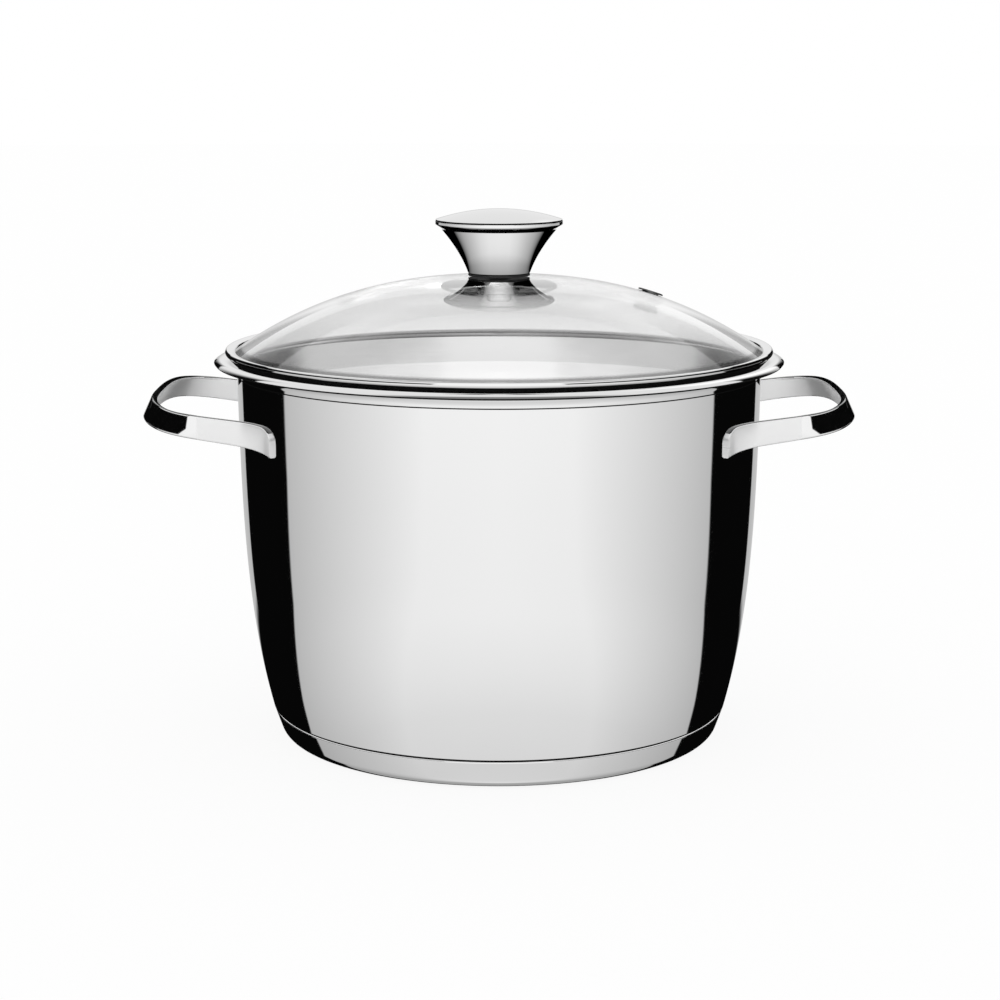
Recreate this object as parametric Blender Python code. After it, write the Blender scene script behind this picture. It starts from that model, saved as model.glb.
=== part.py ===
"""Stock pot with a glass lid: a drawn steel pot with a rolled rim on a sandwich base, two welded
strap handles, and a domed glass lid with a steel band, a steam vent and a flared steel knob.

Sizes are in millimetres and angles in degrees. +Z is up, the origin is at the centre of the
underside, and the handles lie along X. Heights of the lid and the handles are measured from the
top of the pot's rim, and the handles' reach and the lid's overhang from the outside of its wall.
"""

import math

import bmesh
import bpy
from mathutils import Matrix, Vector

MM = 0.001  # metres in a millimetre

# Fits and facets
FIT_GAP = 0.3  # left between pieces that touch on the real pot
LARGE_FACETS = 48
KNOB_FACETS = 32
SMALL_FACETS = 20
NUT_FACETS = 24
LOOP_STEPS = 14
WALL_STEPS = 7
ROLL_STEPS = 6
DOME_STEPS = 7
BEND_STEPS = 5
CORNER_STEPS = 4
EDGE_STEPS = 2
SHARP_ANGLE = 40  # edges that turn by more stay sharp
MERGE_DISTANCE = 1e-4

# Pot body: outside of the wall, drawn in towards the base, and the rim rolled outwards
WALL_RADIUS = 100.2
WALL_THICKNESS = 0.8
RIM_START = 141.0
WALL_TAPER = 2.5
WALL_BELLY = 9.4
BELLY_POWER = 3.4
RIM_ROLL_RADIUS = 5.0
RIM_ROLL_ANGLE = 128.0
FLOOR_CORNER_RADIUS = 7.0

# Sandwich base: an aluminium core closed in by a steel cap, flush with the wall at the seam
SEAM_HEIGHT = 11.6
CAP_THICKNESS = 0.6
CAP_SIDE_LEAN = 19.6
CAP_CORNER_RADIUS = 5.5
CORE_THICKNESS = 4.0

# Strap handles: a flat strip in a squared loop, leaning in at its outer end
HANDLE_REACH = 35.0
HANDLE_HALF_SPAN = 52.0
HANDLE_LEG_START = 5.8
HANDLE_SQUARENESS = 3.0
HANDLE_HEIGHT = -16.6
HANDLE_SLOPE = 0.15
HANDLE_SLOPE_START = 38.0
HANDLE_SLOPE_EASE = 10.0
HANDLE_LEAN = 25.0
STRAP_WIDTH = 8.4
STRAP_FOOT_WIDTH = 10.2
STRAP_THICKNESS = 2.8
STRAP_EDGE_RADIUS = 1.2
FOOT_BEND_RADIUS = 16.0
FOOT_LENGTH = 2.6
FOOT_CORNER_LENGTH = 7.0
FOOT_CORNER_DROP = 4.0

# Lid: a domed glass disc, its edge held in a steel band whose skirt drops into the pot
BAND_OVERHANG = 4.4
BAND_BEAD_RADIUS = 1.1
BAND_BEAD_HEIGHT = 2.7
BEAD_START_ANGLE = 75.0
BEAD_END_ANGLE = -60.0
BAND_SHEET = 0.7
BAND_GRIP = 3.1
BAND_COVER = 0.9
SEAT_START_ANGLE = 150.0
SEAT_END_ANGLE = 128.0
SKIRT_CLEARANCE = 0.7
SKIRT_DEPTH = 13.3
SHOULDER_SLOPE = 0.5
GLASS_THICKNESS = 4.0
GLASS_EDGE_HEIGHT = 1.95
DOME_HEIGHT = 28.4
DOME_POWER = 2.47
GLASS_HOLE_RADIUS = 4.0

# Steam vent: an eyelet through the glass, with a soft ring under it
VENT_DISTANCE = 62.0
VENT_ANGLE = 18.0
VENT_HOLE_RADIUS = 3.6
VENT_FLANGE_RADIUS = 5.0
VENT_SHEET = 0.6
VENT_RING_THICKNESS = 0.6
VENT_UNDER_GAP = 0.5

# Knob: a flared shell with a domed cap, drawn down by a screw from under the glass
KNOB_BASE_RADIUS = 11.8
KNOB_TOP_RADIUS = 22.25
KNOB_CONE_HEIGHT = 16.9
KNOB_BASE_FLARE = 0.36
KNOB_SHEET = 0.8
KNOB_FLOOR = 1.2
KNOB_CAP_RADIUS = 24.3
KNOB_CAP_EDGE_HEIGHT = 3.0
KNOB_CAP_BAND = 1.2
KNOB_CAP_RISE = 4.0
KNOB_CAP_SEAT = 2.8
KNOB_GASKET_THICKNESS = 0.8
NUT_ACROSS_FLATS = 8.0
NUT_HEIGHT = 5.0
SCREW_RADIUS = 2.5
SCREW_HEAD_RADIUS = 4.8
SCREW_HEAD_HEIGHT = 2.6
SCREW_END = 0.8
SCREW_CHAMFER = 0.5
WASHER_RADIUS = 7.5
WASHER_THICKNESS = 1.0
BUSH_FLANGE_RADIUS = 8.0
BUSH_FLANGE_THICKNESS = 1.0

# Linear colour, roughness, metallic value and transmission of each finish
POLISHED_STEEL = ((0.78, 0.78, 0.78), 0.06, 1.0, 0.0)
SATIN_STEEL = ((0.62, 0.62, 0.62), 0.32, 1.0, 0.0)
ALUMINIUM = ((0.70, 0.71, 0.72), 0.45, 1.0, 0.0)
CLEAR_GLASS = ((0.93, 0.94, 0.94), 0.02, 0.0, 1.0)
BLACK_SILICONE = ((0.02, 0.02, 0.02), 0.55, 0.0, 0.0)

# Sizes that follow from the ones above
RIM_TOP = RIM_START + RIM_ROLL_RADIUS + WALL_THICKNESS
ROLL_CENTRE = (WALL_RADIUS + RIM_ROLL_RADIUS, RIM_START)
CORE_BOTTOM = CAP_THICKNESS + FIT_GAP
FLOOR_UNDERSIDE = CORE_BOTTOM + CORE_THICKNESS + FIT_GAP
BODY_INSET = CAP_THICKNESS + FIT_GAP
HANDLE_END = WALL_RADIUS + HANDLE_REACH
LEG_START = WALL_RADIUS + HANDLE_LEG_START
STRAP_HEIGHT = RIM_TOP + HANDLE_HEIGHT
BAND_RADIUS = WALL_RADIUS + BAND_OVERHANG
GLASS_RADIUS = BAND_RADIUS - BAND_GRIP
GLASS_TOP = GLASS_EDGE_HEIGHT + DOME_HEIGHT
KNOB_GASKET_BOTTOM = GLASS_TOP + FIT_GAP
KNOB_BOTTOM = KNOB_GASKET_BOTTOM + KNOB_GASKET_THICKNESS + FIT_GAP
NUT_BOTTOM = KNOB_BOTTOM + KNOB_FLOOR + FIT_GAP
BUSH_TOP = GLASS_TOP - GLASS_THICKNESS - FIT_GAP
WASHER_TOP = BUSH_TOP - BUSH_FLANGE_THICKNESS - FIT_GAP
SCREW_HEAD_TOP = WASHER_TOP - WASHER_THICKNESS - FIT_GAP
SCREW_BORE = SCREW_RADIUS + FIT_GAP


def arc(centre, radius, start, end, steps):
    """Points (distance from the axis, height) on an arc, both ends included."""
    angles = [math.radians(start + (end - start) * i / steps) for i in range(steps + 1)]
    return [(centre[0] + radius * math.cos(a), centre[1] + radius * math.sin(a)) for a in angles]


def between(start, end, steps):
    return [start + (end - start) * i / steps for i in range(steps + 1)]


def clear_scene():
    for obj in list(bpy.data.objects):
        bpy.data.objects.remove(obj, do_unlink=True)


def make_material(name, finish):
    colour, roughness, metallic, transmission = finish
    material = bpy.data.materials.new(name)
    material.use_nodes = True
    shader = material.node_tree.nodes["Principled BSDF"]
    shader.inputs["Base Color"].default_value = (*colour, 1.0)
    shader.inputs["Roughness"].default_value = roughness
    shader.inputs["Metallic"].default_value = metallic
    shader.inputs["Transmission Weight"].default_value = transmission
    return material


def add_piece(name, bm, finish, parent, matrix=None):
    """Turns a bmesh in millimetres into a named object in metres, shaded smooth."""
    bmesh.ops.recalc_face_normals(bm, faces=bm.faces)
    bmesh.ops.scale(bm, vec=(MM, MM, MM), verts=bm.verts)
    mesh = bpy.data.meshes.new(name)
    bm.to_mesh(mesh)
    bm.free()
    mesh.shade_smooth()
    mesh.set_sharp_from_angle(angle=math.radians(SHARP_ANGLE))
    obj = bpy.data.objects.new(name, mesh)
    obj.data.materials.append(make_material(name, finish))
    bpy.context.collection.objects.link(obj)
    obj.parent = parent
    if matrix is not None:
        obj.matrix_local = matrix
    return obj


def add_axis(name, height):
    """An empty on the pot's axis, which carries one of its two bodies."""
    empty = bpy.data.objects.new(name, None)
    empty.location = (0, 0, height * MM)
    bpy.context.collection.objects.link(empty)
    return empty


def turned(outline, facets):
    """A solid turned about Z from a closed outline of (distance from the axis, height) points."""
    bm = bmesh.new()
    verts = [bm.verts.new((r, 0, z)) for r, z in outline]
    for first, second in zip(verts, verts[1:] + verts[:1]):
        if first.co.x > 0 or second.co.x > 0:
            bm.edges.new((first, second))
    bmesh.ops.spin(
        bm,
        geom=bm.verts[:] + bm.edges[:],
        axis=(0, 0, 1),
        cent=(0, 0, 0),
        angle=math.tau,
        steps=facets,
        use_merge=True,
    )
    bmesh.ops.remove_doubles(bm, verts=bm.verts, dist=MERGE_DISTANCE)
    return bm


def washer(inner, outer, bottom, top, facets):
    return turned([(inner, bottom), (outer, bottom), (outer, top), (inner, top)], facets)


# Pot body and base


def wall_radius(height):
    """Outside of the pot's wall at a height between the seam and the rim."""
    down = (RIM_START - height) / (RIM_START - SEAM_HEIGHT)
    return WALL_RADIUS - WALL_TAPER * down - WALL_BELLY * down**BELLY_POWER


def base_side(inset, corner_radius, floor, top):
    """The leaning side of the base and its lower corner, moved in by an inset, top to bottom."""
    lean = math.radians(CAP_SIDE_LEAN)

    def side(height):
        run = (SEAM_HEIGHT - height) * math.tan(lean)
        return wall_radius(SEAM_HEIGHT) - run - inset / math.cos(lean)

    centre_height = floor + corner_radius
    centre = (side(centre_height) - corner_radius / math.cos(lean), centre_height)
    return [(side(top), top)] + arc(centre, corner_radius, -CAP_SIDE_LEAN, -90, CORNER_STEPS)


def body_outline():
    shoulder = SEAM_HEIGHT + FLOOR_CORNER_RADIUS / 3
    outer_heights = between(RIM_START, SEAM_HEIGHT, WALL_STEPS)
    inner_heights = between(RIM_START, shoulder, WALL_STEPS)
    roll_end = 180 - RIM_ROLL_ANGLE
    upper_roll = arc(ROLL_CENTRE, RIM_ROLL_RADIUS + WALL_THICKNESS, 180, roll_end, ROLL_STEPS)
    lower_roll = arc(ROLL_CENTRE, RIM_ROLL_RADIUS, roll_end, 180, ROLL_STEPS)
    inner_wall = [(wall_radius(z) - WALL_THICKNESS, z) for z in reversed(inner_heights)]
    outer_wall = [(wall_radius(z), z) for z in outer_heights]
    floor_top = FLOOR_UNDERSIDE + WALL_THICKNESS
    inner_corner = FLOOR_CORNER_RADIUS - WALL_THICKNESS
    inner_base = base_side(BODY_INSET + WALL_THICKNESS, inner_corner, floor_top, SEAM_HEIGHT)
    outer_base = base_side(BODY_INSET, FLOOR_CORNER_RADIUS, FLOOR_UNDERSIDE, SEAM_HEIGHT)
    inside = [(0, floor_top)] + inner_base[::-1] + inner_wall + upper_roll[1:]
    outside = lower_roll + outer_wall[1:] + outer_base + [(0, FLOOR_UNDERSIDE)]
    return inside + outside


def cap_outline():
    top = SEAM_HEIGHT - FIT_GAP
    inner_corner = CAP_CORNER_RADIUS - CAP_THICKNESS
    outer = base_side(0, CAP_CORNER_RADIUS, 0, top)
    inner = base_side(CAP_THICKNESS, inner_corner, CAP_THICKNESS, top)
    return outer + [(0, 0), (0, CAP_THICKNESS)] + inner[::-1]


def core_radius():
    """The core fills the flat part of the cap and of the pot's floor."""
    cap_flat = base_side(CAP_THICKNESS, CAP_CORNER_RADIUS - CAP_THICKNESS, CAP_THICKNESS, SEAM_HEIGHT)
    floor_flat = base_side(BODY_INSET, FLOOR_CORNER_RADIUS, FLOOR_UNDERSIDE, SEAM_HEIGHT)
    return min(cap_flat[-1][0], floor_flat[-1][0]) - FIT_GAP


def add_pot(parent):
    core = [(0, CORE_BOTTOM), (core_radius(), CORE_BOTTOM)]
    core += [(r, CORE_BOTTOM + CORE_THICKNESS) for r, _ in reversed(core)]
    add_piece("pot_body", turned(body_outline(), LARGE_FACETS), POLISHED_STEEL, parent)
    add_piece("base_core", turned(core, LARGE_FACETS), ALUMINIUM, parent)
    add_piece("base_cap", turned(cap_outline(), LARGE_FACETS), POLISHED_STEEL, parent)


# Strap handles


def loop_end():
    """Plan points of the strap's middle from its outer end to the start of a leg, as a superellipse."""
    lean_in = STRAP_WIDTH / 2 * math.sin(math.radians(HANDLE_LEAN))
    depth = HANDLE_END - STRAP_THICKNESS / 2 - lean_in - LEG_START
    half_span = HANDLE_HALF_SPAN - STRAP_THICKNESS / 2
    power = 2 / HANDLE_SQUARENESS
    points = []
    for angle in between(0, math.pi / 2, LOOP_STEPS):
        along = abs(math.cos(angle)) ** power
        across = math.sin(angle) ** power
        points.append((LEG_START + depth * along, -half_span * across))
    return points


def leg_and_foot():
    """Plan points from a leg's start, round its bend and along the wall to the end of the foot."""
    leg_side = -(HANDLE_HALF_SPAN - STRAP_THICKNESS / 2)
    foot_radius = wall_radius(STRAP_HEIGHT) + FIT_GAP + STRAP_THICKNESS / 2
    bend_side = leg_side - FOOT_BEND_RADIUS
    bend_along = math.sqrt((foot_radius + FOOT_BEND_RADIUS) ** 2 - bend_side**2)
    wall_angle = math.atan2(bend_side, bend_along)
    bend_end = 180 + math.degrees(wall_angle)
    bend = arc((bend_along, bend_side), FOOT_BEND_RADIUS, 90, bend_end, BEND_STEPS)
    foot = []
    for turn in between(0, math.pi / 2, CORNER_STEPS)[1:]:
        angle = wall_angle - FOOT_LENGTH * math.sin(turn) / foot_radius
        foot.append((foot_radius * math.cos(angle), foot_radius * math.sin(angle)))
    return bend + foot


def strap_sections():
    """The strap's cross-sections from one foot to the other, each as a ring of points."""
    half = [Vector(point) for point in loop_end() + leg_and_foot()]
    lengths = [0.0]
    for first, second in zip(half, half[1:]):
        lengths.append(lengths[-1] + (second - first).length)
    sections = []
    for index, point in enumerate(half):
        before = half[index - 1] if index else Vector((half[1].x, -half[1].y))
        after = half[min(index + 1, len(half) - 1)]
        along = (after - before).normalized()
        outward = Vector((-along.y, along.x))
        lean = HANDLE_LEAN * outward.x if index <= LOOP_STEPS else 0
        sections.append(strap_ring(point, outward, lean, lengths[index], lengths[-1]))
    mirrored = [[Vector((p.x, -p.y, p.z)) for p in ring] for ring in sections[:0:-1]]
    return mirrored + sections


def strap_ring(point, outward, lean, length, total):
    """One rounded cross-section of the strap, at a length along its half from the outer end."""
    past = length - HANDLE_SLOPE_START
    drop = HANDLE_SLOPE * (past + math.hypot(past, HANDLE_SLOPE_EASE)) / 2
    share = max(0, past / (total - HANDLE_SLOPE_START))
    width = STRAP_WIDTH + (STRAP_FOOT_WIDTH - STRAP_WIDTH) * share**2
    into_corner = max(0, 1 - (total - length) / FOOT_CORNER_LENGTH)
    cut = FOOT_CORNER_DROP * (1 - math.sqrt(1 - into_corner**2))
    middle = Vector((point.x, point.y, STRAP_HEIGHT - drop))
    normal = Vector((outward.x, outward.y, 0))
    turn = math.radians(lean)
    up = Vector((0, 0, math.cos(turn))) - normal * math.sin(turn)
    out = normal * math.cos(turn) + Vector((0, 0, math.sin(turn)))
    top, bottom = width / 2 - cut, -width / 2
    side = STRAP_THICKNESS / 2
    r = STRAP_EDGE_RADIUS
    corners = ((side - r, top - r, 0), (r - side, top - r, 90))
    corners += ((r - side, bottom + r, 180), (side - r, bottom + r, 270))
    ring = []
    for across, above, start in corners:
        for x, z in arc((across, above), r, start, start + 90, EDGE_STEPS):
            ring.append(middle + out * x + up * z)
    return ring


def lofted(rings):
    """A closed solid through rings that have the same number of points."""
    bm = bmesh.new()
    loops = [[bm.verts.new(point) for point in ring] for ring in rings]
    count = len(loops[0])
    for first, second in zip(loops, loops[1:]):
        for i in range(count):
            j = (i + 1) % count
            bm.faces.new((first[i], first[j], second[j], second[i]))
    bm.faces.new(loops[0])
    bm.faces.new(loops[-1])
    return bm


def add_handles(parent):
    for name, turn in (("handle_right", 0), ("handle_left", math.pi)):
        matrix = Matrix.Rotation(turn, 4, "Z")
        add_piece(name, lofted(strap_sections()), POLISHED_STEEL, parent, matrix)


# Lid


def dome_height(radius):
    return GLASS_TOP - DOME_HEIGHT * (radius / GLASS_RADIUS) ** DOME_POWER


def dome_normal(radius):
    """Direction square to the dome at a distance from its axis, as (outward, up)."""
    share = (radius / GLASS_RADIUS) ** (DOME_POWER - 1)
    slope = DOME_HEIGHT * DOME_POWER / GLASS_RADIUS * share
    return Vector((slope, 1)).normalized()


def dome_point(radius, offset):
    """A point an offset above the dome's outer face, as (distance from the axis, height)."""
    point = Vector((radius, dome_height(radius))) + dome_normal(radius) * offset
    return tuple(point)


def glass_outline():
    radii = [GLASS_HOLE_RADIUS] + between(GLASS_RADIUS / 4, GLASS_RADIUS, DOME_STEPS)
    outer = [dome_point(r, 0) for r in radii]
    inner = [dome_point(r, -GLASS_THICKNESS) for r in radii[1:]]
    inner.insert(0, (GLASS_HOLE_RADIUS, GLASS_TOP - GLASS_THICKNESS))
    return outer + inner[::-1]


def band_outline():
    """The band's section: top lip, bead, seat on the rolled rim, skirt, and the groove for the glass."""
    bead = (BAND_RADIUS - BAND_BEAD_RADIUS, BAND_BEAD_HEIGHT)
    lip_inner = dome_point(GLASS_RADIUS - BAND_COVER, FIT_GAP)
    lip_outer = dome_point(GLASS_RADIUS - BAND_COVER, FIT_GAP + BAND_SHEET / 2)
    roll = (ROLL_CENTRE[0], RIM_START - RIM_TOP)
    seat_radius = RIM_ROLL_RADIUS + WALL_THICKNESS + FIT_GAP
    seat = arc(roll, seat_radius, SEAT_END_ANGLE, SEAT_START_ANGLE, EDGE_STEPS)
    skirt_outer = WALL_RADIUS - WALL_THICKNESS - SKIRT_CLEARANCE
    skirt_top = seat[-1][1] - (seat[-1][0] - skirt_outer) * SHOULDER_SLOPE
    skirt_inner = skirt_outer - BAND_SHEET
    under_edge = dome_point(GLASS_RADIUS, -GLASS_THICKNESS - FIT_GAP)
    low_corner = Vector(under_edge) + edge_gap()
    high_corner = Vector(dome_point(GLASS_RADIUS, FIT_GAP)) + edge_gap()
    bead_arc = arc(bead, BAND_BEAD_RADIUS, BEAD_START_ANGLE, BEAD_END_ANGLE, CORNER_STEPS)
    outline = [lip_inner, lip_outer] + bead_arc + seat
    outline += [(skirt_outer, skirt_top), (skirt_outer, -SKIRT_DEPTH), (skirt_inner, -SKIRT_DEPTH)]
    outline += [(skirt_inner, under_edge[1]), tuple(low_corner), tuple(high_corner)]
    return outline


def edge_gap():
    """The clearance between the glass's edge and the band, along the dome outwards."""
    outward, up = dome_normal(GLASS_RADIUS)
    return Vector((up, -outward)) * FIT_GAP


def vent_matrix():
    """The vent's own frame: its origin on the dome's outer face and its Z square to the glass."""
    outward, up = dome_normal(VENT_DISTANCE)
    place = Matrix.Translation((VENT_DISTANCE * MM, 0, dome_height(VENT_DISTANCE) * MM))
    tilt = Matrix.Rotation(math.atan2(outward, up), 4, "Y")
    return Matrix.Rotation(math.radians(VENT_ANGLE), 4, "Z") @ place @ tilt


def add_glass(parent):
    glass = add_piece("lid_glass", turned(glass_outline(), LARGE_FACETS), CLEAR_GLASS, parent)
    drill = washer(0, VENT_HOLE_RADIUS, -2 * GLASS_THICKNESS, GLASS_THICKNESS, SMALL_FACETS)
    cutter = add_piece("vent_drill", drill, CLEAR_GLASS, parent, vent_matrix())
    cutter.hide_render = True
    cutter.display_type = "WIRE"
    hole = glass.modifiers.new("vent_hole", "BOOLEAN")
    hole.operation = "DIFFERENCE"
    hole.object = cutter


def add_vent(parent):
    tube = VENT_HOLE_RADIUS - FIT_GAP
    bore = tube - VENT_SHEET
    top = FIT_GAP + VENT_SHEET
    ring_top = -GLASS_THICKNESS - VENT_UNDER_GAP
    ring_bottom = ring_top - VENT_RING_THICKNESS
    under = ring_bottom - FIT_GAP
    eyelet = [(bore, top), (VENT_FLANGE_RADIUS, top), (VENT_FLANGE_RADIUS, FIT_GAP)]
    eyelet += [(tube, FIT_GAP), (tube, under), (VENT_FLANGE_RADIUS, under)]
    eyelet += [(VENT_FLANGE_RADIUS, under - VENT_SHEET), (bore, under - VENT_SHEET)]
    ring = washer(VENT_HOLE_RADIUS, VENT_FLANGE_RADIUS, ring_bottom, ring_top, SMALL_FACETS)
    add_piece("vent_eyelet", turned(eyelet, SMALL_FACETS), POLISHED_STEEL, parent, vent_matrix())
    add_piece("vent_gasket", ring, BLACK_SILICONE, parent, vent_matrix())


# Knob and its fixing


def cone_radius(height):
    """Outside of the knob's flare at a height above its base."""
    curve = KNOB_TOP_RADIUS - KNOB_BASE_RADIUS - KNOB_BASE_FLARE * KNOB_CONE_HEIGHT
    return KNOB_BASE_RADIUS + KNOB_BASE_FLARE * height + curve * (height / KNOB_CONE_HEIGHT) ** 2


def cone_outline():
    outer_heights = between(0, KNOB_CONE_HEIGHT, BEND_STEPS)
    inner_heights = between(KNOB_CONE_HEIGHT, KNOB_FLOOR, BEND_STEPS)
    outline = [(cone_radius(z), KNOB_BOTTOM + z) for z in outer_heights]
    outline += [(cone_radius(z) - KNOB_SHEET, KNOB_BOTTOM + z) for z in inner_heights]
    return outline + [(SCREW_BORE, KNOB_BOTTOM + KNOB_FLOOR), (SCREW_BORE, KNOB_BOTTOM)]


def knob_cap_outline():
    """A shallow dome with an upright band and an edge that leans in to the flare, hollow below."""
    bottom = KNOB_BOTTOM + KNOB_CONE_HEIGHT + FIT_GAP
    edge = bottom + KNOB_CAP_EDGE_HEIGHT
    inner = KNOB_TOP_RADIUS - KNOB_CAP_SEAT

    def dome(radius):
        return edge + KNOB_CAP_RISE * (1 - (radius / KNOB_CAP_RADIUS) ** 2)

    top = [(r, dome(r)) for r in between(KNOB_CAP_RADIUS, 0, BEND_STEPS)]
    ceiling = [(r, dome(r) - KNOB_SHEET) for r in between(0, inner, EDGE_STEPS)]
    side = [(inner, bottom), (KNOB_TOP_RADIUS, bottom), (KNOB_CAP_RADIUS, edge - KNOB_CAP_BAND)]
    return side + top + ceiling


def nut_solid():
    """A hexagonal nut with a plain bore."""
    corner = NUT_ACROSS_FLATS / math.sqrt(3)
    top = NUT_BOTTOM + NUT_HEIGHT
    bm = bmesh.new()
    rings = []
    for radius, height in ((corner, NUT_BOTTOM), (corner, top), (SCREW_BORE, top), (SCREW_BORE, NUT_BOTTOM)):
        turns = [math.tau * i / NUT_FACETS for i in range(NUT_FACETS)]
        rings.append([bm.verts.new(hex_point(radius, corner, turn, height)) for turn in turns])
    for first, second in zip(rings, rings[1:] + rings[:1]):
        for i in range(NUT_FACETS):
            j = (i + 1) % NUT_FACETS
            bm.faces.new((first[i], first[j], second[j], second[i]))
    return bm


def hex_point(radius, corner, turn, height):
    """A point on the nut's six flats where the radius reaches its corners, else on its bore."""
    if radius == corner:
        radius = NUT_ACROSS_FLATS / 2 / math.cos(turn % (math.pi / 3) - math.pi / 6)
    return (radius * math.cos(turn), radius * math.sin(turn), height)


def screw_outline():
    """A pan-headed screw, head down."""
    end = NUT_BOTTOM + NUT_HEIGHT + SCREW_END
    bottom = SCREW_HEAD_TOP - SCREW_HEAD_HEIGHT
    crown = SCREW_HEAD_HEIGHT / 2
    edge = (SCREW_HEAD_RADIUS - crown, bottom + crown)
    head = [(SCREW_HEAD_RADIUS, SCREW_HEAD_TOP)] + arc(edge, crown, 0, -90, EDGE_STEPS)
    tip = [(0, end), (SCREW_RADIUS - SCREW_CHAMFER, end), (SCREW_RADIUS, end - SCREW_CHAMFER)]
    return tip + [(SCREW_RADIUS, SCREW_HEAD_TOP)] + head + [(0, bottom)]


def bush_outline():
    """A soft bush under the glass, whose collar keeps the screw off the edge of the hole."""
    collar = GLASS_HOLE_RADIUS - FIT_GAP
    bottom = BUSH_TOP - BUSH_FLANGE_THICKNESS
    collar_top = GLASS_TOP - FIT_GAP
    flange = [(BUSH_FLANGE_RADIUS, bottom), (BUSH_FLANGE_RADIUS, BUSH_TOP), (collar, BUSH_TOP)]
    return [(SCREW_BORE, bottom)] + flange + [(collar, collar_top), (SCREW_BORE, collar_top)]


def add_knob(parent):
    gasket_top = KNOB_GASKET_BOTTOM + KNOB_GASKET_THICKNESS
    gasket = washer(SCREW_BORE, KNOB_BASE_RADIUS, KNOB_GASKET_BOTTOM, gasket_top, KNOB_FACETS)
    plate = washer(SCREW_BORE, WASHER_RADIUS, WASHER_TOP - WASHER_THICKNESS, WASHER_TOP, SMALL_FACETS)
    add_piece("knob_cone", turned(cone_outline(), KNOB_FACETS), POLISHED_STEEL, parent)
    add_piece("knob_cap", turned(knob_cap_outline(), KNOB_FACETS), POLISHED_STEEL, parent)
    add_piece("knob_gasket", gasket, BLACK_SILICONE, parent)
    add_piece("knob_nut", nut_solid(), SATIN_STEEL, parent)
    add_piece("knob_screw", turned(screw_outline(), SMALL_FACETS), SATIN_STEEL, parent)
    add_piece("knob_washer", plate, SATIN_STEEL, parent)
    add_piece("screw_bush", turned(bush_outline(), SMALL_FACETS), BLACK_SILICONE, parent)


def main():
    clear_scene()
    pot = add_axis("pot_axis", 0)
    add_pot(pot)
    add_handles(pot)
    lid = add_axis("lid_axis", RIM_TOP)
    add_glass(lid)
    add_piece("lid_band", turned(band_outline(), LARGE_FACETS), POLISHED_STEEL, lid)
    add_vent(lid)
    add_knob(lid)


main()
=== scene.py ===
"""Looks of a steel stock pot with a domed glass lid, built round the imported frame.

Sizes are in millimetres and angles in degrees. Heights of the lid and the handles are measured
from the top of the pot's rim, and the handles' reach and the lid's overhang from the outside of
its wall. Each visible piece is a fine mesh of the solid that it stands for.
"""

import math

import bmesh
import bpy
from mathutils import Matrix, Vector


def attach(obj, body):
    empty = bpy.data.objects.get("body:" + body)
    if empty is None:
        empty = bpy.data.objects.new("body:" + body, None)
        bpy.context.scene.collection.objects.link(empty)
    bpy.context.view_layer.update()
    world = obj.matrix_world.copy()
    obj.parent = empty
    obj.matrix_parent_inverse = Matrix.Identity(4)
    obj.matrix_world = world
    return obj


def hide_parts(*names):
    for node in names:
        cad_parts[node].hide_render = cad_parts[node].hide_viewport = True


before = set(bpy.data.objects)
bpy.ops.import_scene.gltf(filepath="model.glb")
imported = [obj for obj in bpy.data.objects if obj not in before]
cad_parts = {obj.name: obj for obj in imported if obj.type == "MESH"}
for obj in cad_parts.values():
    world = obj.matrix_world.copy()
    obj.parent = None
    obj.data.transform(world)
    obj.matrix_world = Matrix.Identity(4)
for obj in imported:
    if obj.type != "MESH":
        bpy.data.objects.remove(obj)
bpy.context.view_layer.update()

MM = 0.001  # metres in a millimetre

# Camera, fitted to the photograph
CAMERA_PLACE = (0.35, -907.12, 261.83)
CAMERA_PITCH = 79.282
CAMERA_LENS = 85.53

# Steps along curves
WALL_SEGMENTS = 288
KNOB_SEGMENTS = 160
SMALL_SEGMENTS = 72
WALL_STEPS = 48
ROLL_STEPS = 28
DOME_STEPS = 64
CORNER_STEPS = 10
EDGE_STEPS = 5
LOOP_STEPS = 48
SHARP_ANGLE = 38
MERGE_DISTANCE = 1e-4
FLAT_MARGIN = 0.15

# Pot body and base
FIT_GAP = 0.3
WALL_RADIUS = 100.2
WALL_THICKNESS = 0.8
RIM_START = 141.0
WALL_TAPER = 2.5
WALL_BELLY = 9.4
BELLY_POWER = 3.4
RIM_ROLL_RADIUS = 5.0
RIM_ROLL_ANGLE = 128.0
RIM_CREASE_HEIGHT = 0.45
RIM_CREASE_DEPTH = 0.2
FLOOR_CORNER_RADIUS = 7.0
SEAM_HEIGHT = 11.6
SEAM_ROUNDING = 0.3
SEAM_SLOT = 0.75
CAP_THICKNESS = 0.6
CAP_SIDE_LEAN = 19.6
CAP_CORNER_RADIUS = 5.5
CORE_THICKNESS = 4.0

# Strap handles
HANDLE_REACH = 34.75
HANDLE_HALF_SPAN = 52.0
HANDLE_LEG_START = 5.8
HANDLE_SQUARENESS = 3.0
HANDLE_HEIGHT = -16.6
HANDLE_SLOPE = 0.15
HANDLE_SLOPE_START = 38.0
HANDLE_SLOPE_EASE = 10.0
HANDLE_LEAN = 25.0
STRAP_WIDTH = 8.4
STRAP_FOOT_WIDTH = 10.2
STRAP_THICKNESS = 2.8
STRAP_EDGE_RADIUS = 0.8
FOOT_BEND_RADIUS = 16.0
FOOT_LENGTH = 2.6
FOOT_CORNER_LENGTH = 7.0
FOOT_CORNER_DROP = 4.0
WELD_OVERLAP = 0.05
BRUSHED_END = 10.0
BRUSHED_INSIDE = 0.6
EDGE_FACING = 0.75

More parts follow.
